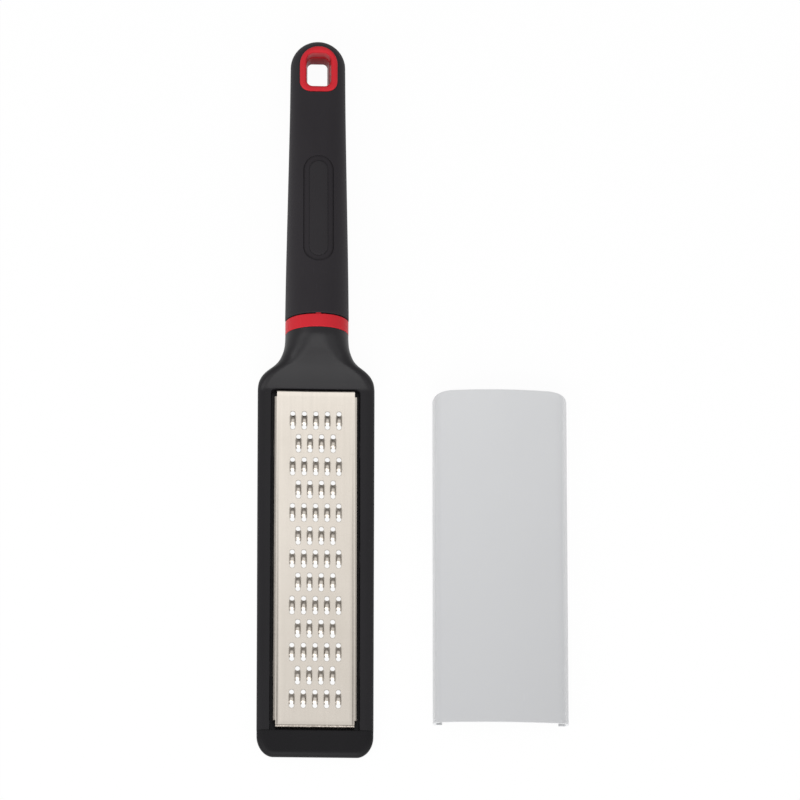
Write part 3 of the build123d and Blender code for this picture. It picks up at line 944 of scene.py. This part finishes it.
# Blade: one sheet with rolled sides, notched corners and raised two-way teeth
blade = {
    "width": 35.85 * mm,
    "centreX": -0.2 * mm,
    "length": 146.95 * mm,
    "centreY": -74.18 * mm,
    "top": 6.0 * mm,
    "foot": 1.94 * mm,            # lower edge of the bent-down sides
    "sheet": 0.5 * mm,
    "bendRadius": 1.25 * mm,
    "bendSteps": 7,
    "notchLength": 3.0 * mm,
    "slotLow": 2.4 * mm,          # snap slots in the long sides
    "slotHigh": 4.2 * mm,
    "slotLength": 6.6 * mm,
    "slotPitch": 48.0 * mm,
    "toothPitch": 4.95 * mm,
    "rowPitch": 10.105 * mm,
    "rowShift": -0.62 * mm,       # middle row against the sheet's middle
    "rows": 13,
    "teethInLongRow": 5,
    "cellsPerPitch": 12,          # grid cells from tooth to tooth
    "holeCells": 4,               # and from a hole's centre to its square's edge
    "bridgeCells": 8,
    "marginCells": 3,
    "holeRadius": 1.0 * mm,
    "holeSpacing": 5.9 * mm,
    "ringShares": (0.3, 0.58, 0.82, 1.0),    # rings between the square cell and the round hole
    "humpHalfWidth": 1.2 * mm,
    "humpRise": 0.95 * mm,
    "humpFade": (0.9 * mm, 2.5 * mm),
    "humpPowers": (2.3, 0.85),
    "humpCrown": 0.5,
    "grooveInset": 0.6 * mm,      # line pressed in along both bends
    "grooveHalf": 0.34 * mm,
    "grooveLines": (-1.6, -0.8, 0.0, 0.8, 1.6),
    "grooveDepth": 0.2 * mm,
    "grooveFade": (0.5, 0.55),               # none at the upper end, full at the tip
    "grooveShade": 0.85,
    "band": (0.3 * mm, 1.8 * mm, 0.6 * mm),  # painted shade in a band along a tooth: from, to and softness
    "bandHalf": (-5 * mm, 1.2 * mm, 0.3 * mm),
    "bandShade": 0.92,
    "flank": (-2.5 * mm, 2.4 * mm, 0.6 * mm),
    "flankHalf": (0.58 * mm, 1.22 * mm, 0.3 * mm),
    "flankShade": 0.8,
    "leftShade": (0.5, 0.225),               # painted shade on the side bends: at the handle end, and more towards the tip
    "rightShade": (0.12, 0.45),
    # painted shade on the end flange at the tip
    "tipShade": 0.9,
    "shadePast": (0.2 * mm, 0.1 * mm),       # past the flat part, across and along
    # painted dark ring round each hole, on its last two rings
    "rimShade": (0.3, 0.62),
}


# Rise of a tooth at x across and y along from its centre: a steep-sided arch across, a shallow crown along,
# faded out beside the two holes
def humpHeight(values, x, y):
    steep, blunt = values["humpPowers"]
    across = np.clip(1 - np.abs(x / values["humpHalfWidth"]) ** steep, 0, None) ** blunt
    near, far = values["humpFade"]
    fade = np.clip((far - np.abs(y)) / (far - near), 0, 1)
    fade = fade * fade * (3 - 2 * fade)
    crown = 1 - values["humpCrown"] * np.clip(np.abs(y) / far, 0, 1) ** 2
    return values["humpRise"] * across * crown * fade


# Soft window: 0 outside low and high, 1 inside, with a smooth step of the given width at both
def softWindow(value, low, high, step):
    rise = np.clip((value - low) / step + 0.5, 0, 1)
    fall = np.clip((high - value) / step + 0.5, 0, 1)
    return rise * rise * (3 - 2 * rise) * fall * fall * (3 - 2 * fall)


# Painted shade of a tooth: a dark band below the upper hole, and dark flanks down to the lower one
def toothShade(values, x, y):
    across = np.abs(x)
    band = softWindow(y, *values["band"]) * softWindow(across, *values["bandHalf"])
    flank = softWindow(y, *values["flank"]) * softWindow(across, *values["flankHalf"])
    return np.maximum(values["bandShade"] * band, values["flankShade"] * flank)


# Grid lines of the flat sheet: even cells over the teeth, wide cells at the margins
def bladeLines(values):
    cell = values["toothPitch"] / values["cellsPerPitch"]
    halfTile = values["holeCells"] * cell
    margins = values["marginCells"] + 1
    reach = (values["teethInLongRow"] - 1) / 2 * values["toothPitch"] + halfTile
    flatX = values["width"] / 2 - values["bendRadius"]
    groove = flatX - values["grooveInset"] + values["grooveHalf"] * np.array(values["grooveLines"])
    margin = np.concatenate([np.linspace(reach, groove[0], margins)[1:-1], groove, [flatX]])
    toothX = np.linspace(-reach, reach, int(round(2 * reach / cell)) + 1)
    linesX = np.concatenate([-margin[::-1], toothX, margin])
    hole = values["holeSpacing"] / 2
    upper = np.linspace(hole - halfTile, hole + halfTile, 2 * values["holeCells"] + 1)
    bridge = np.linspace(-hole + halfTile, hole - halfTile, values["bridgeCells"] + 1)
    row = np.concatenate([-upper[::-1], bridge[1:-1], upper])
    rows = values["rowShift"] + (np.arange(values["rows"]) - (values["rows"] - 1) / 2) * values["rowPitch"]
    gap = (rows[:-1] + rows[1:]) / 2
    toothY = np.sort(np.concatenate([(rows[:, None] + row[None, :]).ravel(), gap]))
    flatY = values["length"] / 2 - values["bendRadius"]
    notchY = values["length"] / 2 - values["notchLength"]
    farEnd = np.concatenate([np.linspace(toothY[-1], notchY, margins)[1:], [flatY]])
    nearEnd = np.concatenate([[-flatY], np.linspace(-notchY, toothY[0], margins)[:-1]])
    return linesX, np.concatenate([nearEnd, toothY, farEnd]), rows


# Holes of all rows, two to a tooth: the grid lines through each, and the Y of its row
def holePlaces(values, linesX, linesY, rows):
    pitchCells = values["cellsPerPitch"]
    firstX = -(values["teethInLongRow"] - 1) / 2 * values["toothPitch"]
    first = int(np.argmin(np.abs(linesX - firstX)))
    holes = []
    for index, rowY in enumerate(rows):
        teeth = np.arange(values["teethInLongRow"] - index % 2)
        lineI = first + pitchCells // 2 * (index % 2) + pitchCells * teeth
        for end in (-1, 1):
            lineJ = int(np.argmin(np.abs(linesY - rowY - end * values["holeSpacing"] / 2)))
            holes.append(np.stack([lineI, 0 * teeth + lineJ, 0 * teeth + index], axis=1))
    holesI, holesJ, row = np.concatenate(holes).T
    return holesI, holesJ, rows[row]


# Place of each point against the nearest tooth of the nearest row
def fromTooth(values, x, y, rows):
    row = np.clip(np.round((y - rows[0]) / values["rowPitch"]), 0, len(rows) - 1)
    shift = (row % 2) * values["toothPitch"] / 2
    tooth = np.round((x - shift) / values["toothPitch"]) * values["toothPitch"] + shift
    span = (values["teethInLongRow"] - 1) / 2 * values["toothPitch"] - shift
    return x - np.clip(tooth, -span, span), y - rows[row.astype(int)]


# Flat part as a grid: humps raised on it, a groove pressed in along both sides; points, painted shades and
# the quads outside the squares that hold the holes
def flatPart(values, linesX, linesY, rows, holes):
    gridX, gridY = np.meshgrid(linesX, linesY)
    x, y = fromTooth(values, gridX, gridY, rows)
    away = np.abs(np.abs(gridX) - linesX[-1] + values["grooveInset"]) / values["grooveHalf"]
    start, fall = values["grooveFade"]
    groove = np.clip(1 - away / values["grooveLines"][-1], 0, 1)
    groove *= np.clip(start - fall * gridY / linesY[-1], 0, 1)
    rise = humpHeight(values, x, y) - values["grooveDepth"] * groove
    # painted shade: the teeth's dark band and flanks, and a dark line painted along the groove
    shade = np.maximum(toothShade(values, x, y), values["grooveShade"] * groove)
    keep = np.ones((len(linesY) - 1, len(linesX) - 1), bool)
    span = np.arange(-values["holeCells"], values["holeCells"])
    keep[holes[1][:, None, None] + span[:, None], holes[0][:, None, None] + span] = False
    cornerJ, cornerI = np.nonzero(keep)
    base = cornerJ * len(linesX) + cornerI
    quads = np.stack([base, base + 1, base + 1 + len(linesX), base + len(linesX)], axis=1)
    return np.stack([gridX, gridY, rise], axis=-1).reshape(-1, 3), shade.ravel(), quads


# Rings between each square of grid cells and the round hole in it: a share of the way from square to circle
def holeRings(values, linesX, linesY, holes, start):
    holesI, holesJ, rowY = holes
    cells = values["holeCells"]
    side, full = np.arange(-cells, cells), np.full(2 * cells, cells)
    ringI = np.concatenate([side, full, -side, -full])          # counter-clockwise from the lower left
    ringJ = np.concatenate([-full, side, full, -side])
    square = np.stack([ringI, ringJ], axis=1) * (values["toothPitch"] / values["cellsPerPitch"])
    circle = square / np.linalg.norm(square, axis=1, keepdims=True) * values["holeRadius"]
    shares = np.array(values["ringShares"])[:, None, None]
    offsets = square * (1 - shares) + circle * shares
    rings = np.empty((len(holesI), *offsets.shape[:2], 3))
    rings[..., :2] = offsets + np.stack([linesX[holesI], linesY[holesJ]], axis=1)[:, None, None]
    y = rings[..., 1] - rowY[:, None, None]
    rings[..., 2] = humpHeight(values, offsets[..., 0], y)
    shade = toothShade(values, offsets[..., 0], y)
    # painted dark ring at the hole's edge
    shade[:, -2:] = np.maximum(shade[:, -2:], np.array(values["rimShade"])[:, None])
    outer = (holesJ[:, None] + ringJ) * len(linesX) + holesI[:, None] + ringI
    inner = start + np.arange(shade.size).reshape(shade.shape)
    loops = np.concatenate([outer[:, None], inner], axis=1)
    turned = np.roll(loops, -1, axis=2)
    quads = np.stack([loops[:, :-1], turned[:, :-1], turned[:, 1:], loops[:, 1:]], axis=-1)
    return rings.reshape(-1, 3), shade.ravel(), quads.reshape(-1, 4)


# Strip bent from a border of the flat part: out by reach and down by drop at each of its places. Axis 0 is a
# long side, axis 1 an end
def bentStrip(border, places, axis, edge, reach, drop, start):
    strip = np.empty((len(places), len(reach), 3))
    strip[..., axis] = edge + np.sign(edge) * reach
    strip[..., 1 - axis] = places[:, None]
    strip[..., 2] = -drop
    index = np.concatenate([border[:, None], gridIndex(*strip.shape[:2], start)], axis=1)
    cells = np.stack([index[:-1, :-1], index[:-1, 1:], index[1:, 1:], index[1:, :-1]], axis=-1)
    return strip.reshape(-1, 3), cells[..., ::-1] if (edge > 0) == (axis == 1) else cells


# Which gaps between neighbouring side lines lie in a snap slot
def slotGaps(values, sideY):
    slots = np.zeros(len(sideY) - 1, bool)
    for place in (-1, 0, 1):
        ends = place * values["slotPitch"] + np.array([-0.5, 0.5]) * values["slotLength"]
        low, high = np.searchsorted(sideY, ends)
        slots[low - 1:high] = True
    return slots


# Upper skin of the sheet: the flat part, its hole rings and the four bends, which are quarter circles and
# then run straight down; points, quads and a painted-shade value for each point
def bladeArrays(values):
    linesX, linesY, rows = bladeLines(values)
    holes = holePlaces(values, linesX, linesY, rows)
    grid, gridShade, gridQuads = flatPart(values, linesX, linesY, rows, holes)
    rings, ringShade, ringQuads = holeRings(values, linesX, linesY, holes, len(grid))
    turn = np.linspace(0, math.pi / 2, values["bendSteps"] + 1)[1:]
    radius = values["bendRadius"]
    down = values["top"] - np.array([values["slotHigh"], values["slotLow"], values["foot"]])
    reach = np.concatenate([radius * np.sin(turn), np.full(len(down), radius)])
    drop = np.concatenate([radius * (1 - np.cos(turn)), down])
    vertices, quads = [grid, rings], [gridQuads, ringQuads]
    total = len(grid) + len(rings)
    index = gridIndex(len(linesY), len(linesX))
    borders = [
        (index[1:-1, 0], 0, linesX[0]), (index[1:-1, -1], 0, linesX[-1]),
        (index[0], 1, linesY[0]), (index[-1], 1, linesY[-1]),
    ]
    for border, axis, edge in borders:
        places = linesX if axis else linesY[1:-1]
        strip, cells = bentStrip(border, places, axis, edge, reach, drop, total)
        solid = np.ones(cells.shape[:2], bool)
        if axis == 0:
            solid[slotGaps(values, places), -2] = False
        vertices.append(strip)
        quads.append(cells[solid])
        total += len(strip)
    vertices, quads = np.concatenate(vertices), np.concatenate(quads)
    paintedShade = np.concatenate([gridShade, ringShade])
    paintedShade = np.append(paintedShade, np.zeros(total - len(paintedShade)))
    # painted shade on the side bends, more towards the tip, and on the end flange at the tip
    tipShare = np.clip(0.5 - 0.5 * vertices[:, 1] / linesY[-1], 0, 1)
    across, along = values["shadePast"]
    for sign, (plain, more) in ((-1, values["leftShade"]), (1, values["rightShade"])):
        paintedShade = np.where(sign * vertices[:, 0] > linesX[-1] + across, plain + more * tipShare, paintedShade)
    paintedShade[vertices[:, 1] < linesY[0] - along] = values["tipShade"]
    vertices += [values["centreX"], values["centreY"], values["top"]]
    used = np.unique(quads)
    renumber = np.zeros(total, int)
    renumber[used] = np.arange(len(used))
    return vertices[used], renumber[quads], paintedShade[used]


# Closed sheet from its outer skin: the skin, a copy moved inwards along its normals, and walls on every
# open edge
def thickened(vertices, quads, extra, thickness):
    corners = vertices[quads]
    normals = np.cross(corners[:, 2] - corners[:, 0], corners[:, 3] - corners[:, 1])
    smooth = np.zeros_like(vertices)
    for corner in range(4):
        np.add.at(smooth, quads[:, corner], normals)
    smooth /= np.linalg.norm(smooth, axis=1, keepdims=True)
    edges = np.stack([quads, np.roll(quads, -1, axis=1)], axis=-1).reshape(-1, 2)
    keys = np.sort(edges, axis=1)
    codes = keys[:, 0] * len(vertices) + keys[:, 1]
    values, counts = np.unique(codes, return_counts=True)
    border = edges[np.isin(codes, values[counts == 1])]
    count = len(vertices)
    walls = np.stack([border[:, 1], border[:, 0], border[:, 0] + count, border[:, 1] + count], axis=1)
    faces = np.concatenate([quads, quads[:, ::-1] + count, walls])
    return np.concatenate([vertices, vertices - smooth * thickness]), faces, np.concatenate([extra, extra])


steel = {
    "color": (0.602, 0.556, 0.500),
    "shadeColor": (0.557, 0.512, 0.456),
    # colour of the painted shade on the teeth, bends and tip
    "paintedShadeColor": (0.115, 0.10, 0.085),
    "rolling": (700.0, (1.0, 0.02, 1.0), 3.0, 0.6),
    "roughness": (0.3, 0.7, 0.19, 0.26),     # the noise between two values, carried over to two others
    "cloud": (26.0, (1.0, 0.7, 1.0), 4.0, 0.6),
    "cloudRange": (0.35, 0.65),
    "scratch": (420.0, (0.35, 7.0, 1.0), 2.0, 0.5),
    "scratchRange": (0.68, 0.74),
    "scratchShare": 0.25,
    "speckle": (1500.0, (1, 1, 1), 2.0, 0.6),
    "speckleRange": (0.3, 0.6, 0.7, 1.0),
    "paintedShadeRoughness": 0.18,
    "bump": (0.12, 0.04 * mm),
}


# Bright rolled sheet: drawn-out grain in roughness and bump, fine scratches, and painted shade on the teeth,
# bends and tip
def rolledSteel(values):
    material, tree, shader = newMaterial("rolledSteel")
    rolling, cloud, scratch, speckle = (
        stretchedNoise(tree, *values[name]) for name in ("rolling", "cloud", "scratch", "speckle")
    )
    scratch = ranged(tree, scratch, *values["scratchRange"])
    # painted shade from the sheet's attribute, broken up by speckle, and a little rougher there
    paintedShadeNode = tree.nodes.new("ShaderNodeAttribute")
    paintedShadeNode.attribute_name = "paintedShade"
    dark = combined(tree, "MULTIPLY", paintedShadeNode.outputs["Fac"], ranged(tree, speckle, *values["speckleRange"]))
    cloud = ranged(tree, cloud, *values["cloudRange"])
    plain = mixedColor(tree, cloud, values["color"], values["shadeColor"])
    faint = combined(tree, "MULTIPLY", scratch, values["scratchShare"])
    plain = mixedColor(tree, faint, plain, values["shadeColor"])
    tree.links.new(mixedColor(tree, dark, plain, values["paintedShadeColor"]), shader.inputs["Base Color"])
    rough = ranged(tree, rolling, *values["roughness"])
    rough = combined(tree, "ADD", rough, combined(tree, "MULTIPLY", dark, values["paintedShadeRoughness"]))
    tree.links.new(rough, shader.inputs["Roughness"])
    shader.inputs["Metallic"].default_value = 1.0
    addBump(tree, shader, combined(tree, "SUBTRACT", rolling, scratch), *values["bump"])
    return material


bladeVertices, bladeQuads, bladePaintedShade = thickened(*bladeArrays(blade), blade["sheet"])
bladeMesh = newMesh("bladeSheet", bladeVertices, bladeQuads.tolist(), ("paintedShade", bladePaintedShade))
placePiece(bladeMesh, rolledSteel(steel), "rasp", "blade")
print("blade sheet:", len(bladeQuads), "quads")

# Cover: translucent channel with an arched crown and lips turned in under both sides
cover = {
    "centreX": 78.8 * mm,
    "width": 57.65 * mm,
    "height": 9.8 * mm,
    "wall": 1.2 * mm,
    "crownRise": 2.6 * mm,
    "shoulderRadius": 4.2 * mm,
    "footRadius": 2.4 * mm,
    "lipWidth": 4.1 * mm,
    "endY": -0.8 * mm,
    "length": 144.3 * mm,
    "endCorner": (8.0 * mm, 4.1 * mm),       # reach across and along
    "endBulge": 0.6 * mm,
    "cornerLimit": 0.995,        # share of the corner's reach where its ellipse stops
    "rings": 72,
    "lipPoints": 6,
    "footPoints": 13,
    "shoulderPoints": 15,
    "crownPoints": 25,
    "lipEdgePoints": 9,
    "color": (0.632, 0.638, 0.648),
    "mottleColor": (0.618, 0.624, 0.634),
    "tipwardShadeColor": (0.527, 0.532, 0.543),   # painted shade: a little darker towards the open end
    "rubColor": (0.77, 0.775, 0.78),
    "rubShare": 0.12,
    "flow": (60.0, (1.0, 0.15, 1.0), 3.0, 0.5),
    "roughness": (0.3, 0.7, 0.3, 0.4),
    "grainShare": 0.2,
    "bump": (0.12, 0.1 * mm),
    "clearness": 0.14,
    "refraction": 1.49,
}


# Arc of a circle round a centre, from one angle to another
def arcPoints(centre, radius, start, end, count):
    turn = np.linspace(start, end, count)
    return np.stack([centre[0] + radius * np.cos(turn), centre[1] + radius * np.sin(turn)], axis=1)


# Outer line of half the section, from the lip's inner edge round the foot and shoulder to the crown's
# middle: straight lip, quarter circle, straight side, arc that turns the side into the crown, and the
# crown's own arc
def coverHalfSection(values):
    half, wall = values["width"] / 2, values["wall"]
    sideTop = values["height"] - values["crownRise"]
    crownRadius = (half * half + values["crownRise"] ** 2) / (2 * values["crownRise"])
    crownCentre = values["height"] - crownRadius
    shoulder = values["shoulderRadius"]
    # centre of the shoulder arc, tangent to the side and inside the crown's circle
    shoulderX = half - shoulder
    shoulderZ = crownCentre + math.sqrt((crownRadius - shoulder) ** 2 - shoulderX**2)
    meet = math.atan2(shoulderZ - crownCentre, shoulderX)
    foot = values["footRadius"]
    lip = np.linspace(half - values["lipWidth"] + wall / 2, half - foot, values["lipPoints"])
    return np.concatenate([
        np.stack([lip, np.zeros_like(lip)], axis=1),
        arcPoints((half - foot, foot), foot, -math.pi / 2, 0, values["footPoints"])[1:],
        arcPoints((shoulderX, shoulderZ), shoulder, 0, meet, values["shoulderPoints"]),
        arcPoints((0, crownCentre), crownRadius, meet, math.pi / 2, values["crownPoints"])[1:],
    ])


# Half circle from one point to another, bulging by the push
def roundEdge(first, last, push, count):
    turn = np.linspace(0, math.pi, count)[1:-1, None]
    middle = (first + last) / 2
    return middle + np.cos(turn) * (first - middle) + np.sin(turn) * push


# Closed band: the outer line, the round lip edge and the inner line, one wall inside the outer one, carried
# along Y. Rings near the ends are drawn in at the sides by the ellipse that rounds the corners in plan
def coverArrays(values):
    right = coverHalfSection(values)
    outer = np.concatenate([right, (right * [-1, 1])[::-1][1:]])
    along = np.gradient(outer, axis=0)
    along /= np.linalg.norm(along, axis=1, keepdims=True)
    inward = np.stack([-along[:, 1], along[:, 0]], axis=1)
    inner = outer + inward * values["wall"]
    bulge, lipPoints = values["wall"] / 2, values["lipEdgePoints"]
    tip = roundEdge(outer[-1], inner[-1], along[-1] * bulge, lipPoints)
    otherTip = roundEdge(inner[0], outer[0], -along[0] * bulge, lipPoints)
    section = np.concatenate([outer, tip, inner[::-1], otherTip])
    count, outerCount = len(section), len(outer)
    across, back = values["endCorner"]
    near = np.clip((np.abs(section[:, 0]) - values["width"] / 2) / across + 1, 0, values["cornerLimit"])
    setback = back * (1 - np.sqrt(1 - near**2))
    share = 0.5 - 0.5 * np.cos(np.linspace(0, math.pi, values["rings"]))
    farY = values["endY"] + values["endBulge"] * (1 - (2 * section[:, 0] / values["width"]) ** 2) - setback
    nearY = np.full(count, values["endY"] - values["length"])
    y = farY[None, :] + (nearY - farY)[None, :] * share[:, None]
    vertices = np.empty((values["rings"], count, 3))
    vertices[..., 0] = values["centreX"] + section[:, 0]
    vertices[..., 1] = y
    vertices[..., 2] = section[:, 1]
    # end faces: outer point against inner point across the wall, quads across the round lips and a
    # triangle at the point of each lip
    innerStart = outerCount + len(tip)
    first = np.arange(outerCount - 1)
    partner = innerStart + outerCount - 1 - first
    cap = np.stack([first, first + 1, partner - 1, partner], axis=1)
    tipLoop = np.arange(outerCount - 1, innerStart + 1)
    otherLoop = np.append(np.arange(innerStart + outerCount - 1, count), 0)
    corners = []
    for loop in (tipLoop, otherLoop):
        half = len(loop) // 2
        low, high = loop[:half], loop[::-1][:half]
        cap = np.concatenate([cap, np.stack([low[:-1], low[1:], high[1:], high[:-1]], axis=1)])
        corners.append([low[-1], loop[half], high[-1]])
    corners, last = np.array(corners), (values["rings"] - 1) * count
    faces = loopQuads(gridIndex(values["rings"], count)).tolist()
    for end in (cap, corners):
        faces += end.tolist() + (end[:, ::-1] + last).tolist()
    return vertices.reshape(-1, 3), faces


# Translucent milky plastic: part of the light goes through, soft ripples, light rubbing on the surface, and
# painted shade darker towards the open end
def milkyPlastic(values):
    material, tree, shader = newMaterial("milkyPlastic")
    grain = useGroup(tree, mouldGrain)
    scuffs = useGroup(tree, handlingScuffs)
    body = mixedColor(tree, grain.outputs["mottle"], values["color"], values["mottleColor"])
    place = tree.nodes.new("ShaderNodeTexCoord")
    split = tree.nodes.new("ShaderNodeSeparateXYZ")
    tree.links.new(place.outputs["Object"], split.inputs[0])
    # painted shade, growing from the handle end to the open end
    tipwardShade = ranged(tree, split.outputs["Y"], values["endY"], values["endY"] - values["length"])
    body = mixedColor(tree, tipwardShade, body, values["tipwardShadeColor"])
    rubbed = combined(tree, "MULTIPLY", scuffs.outputs["scuff"], values["rubShare"])
    tree.links.new(mixedColor(tree, rubbed, body, values["rubColor"]), shader.inputs["Base Color"])
    flow = stretchedNoise(tree, *values["flow"])
    tree.links.new(ranged(tree, flow, *values["roughness"]), shader.inputs["Roughness"])
    shader.inputs["Transmission Weight"].default_value = values["clearness"]
    shader.inputs["IOR"].default_value = values["refraction"]
    pitted = combined(tree, "MULTIPLY", grain.outputs["grain"], values["grainShare"])
    addBump(tree, shader, combined(tree, "ADD", flow, pitted), *values["bump"])
    return material


coverVertices, coverFaces = coverArrays(cover)
coverMesh = weldedMesh("coverShell", coverVertices, coverFaces)
placePiece(coverMesh, milkyPlastic(cover), "cover", "cover")
print("cover shell:", len(coverFaces), "faces")

# Finishes of the pieces that stay as the CAD has them
dress("handle_core", mouldedPlastic(corePlastic))
print("finishes on")
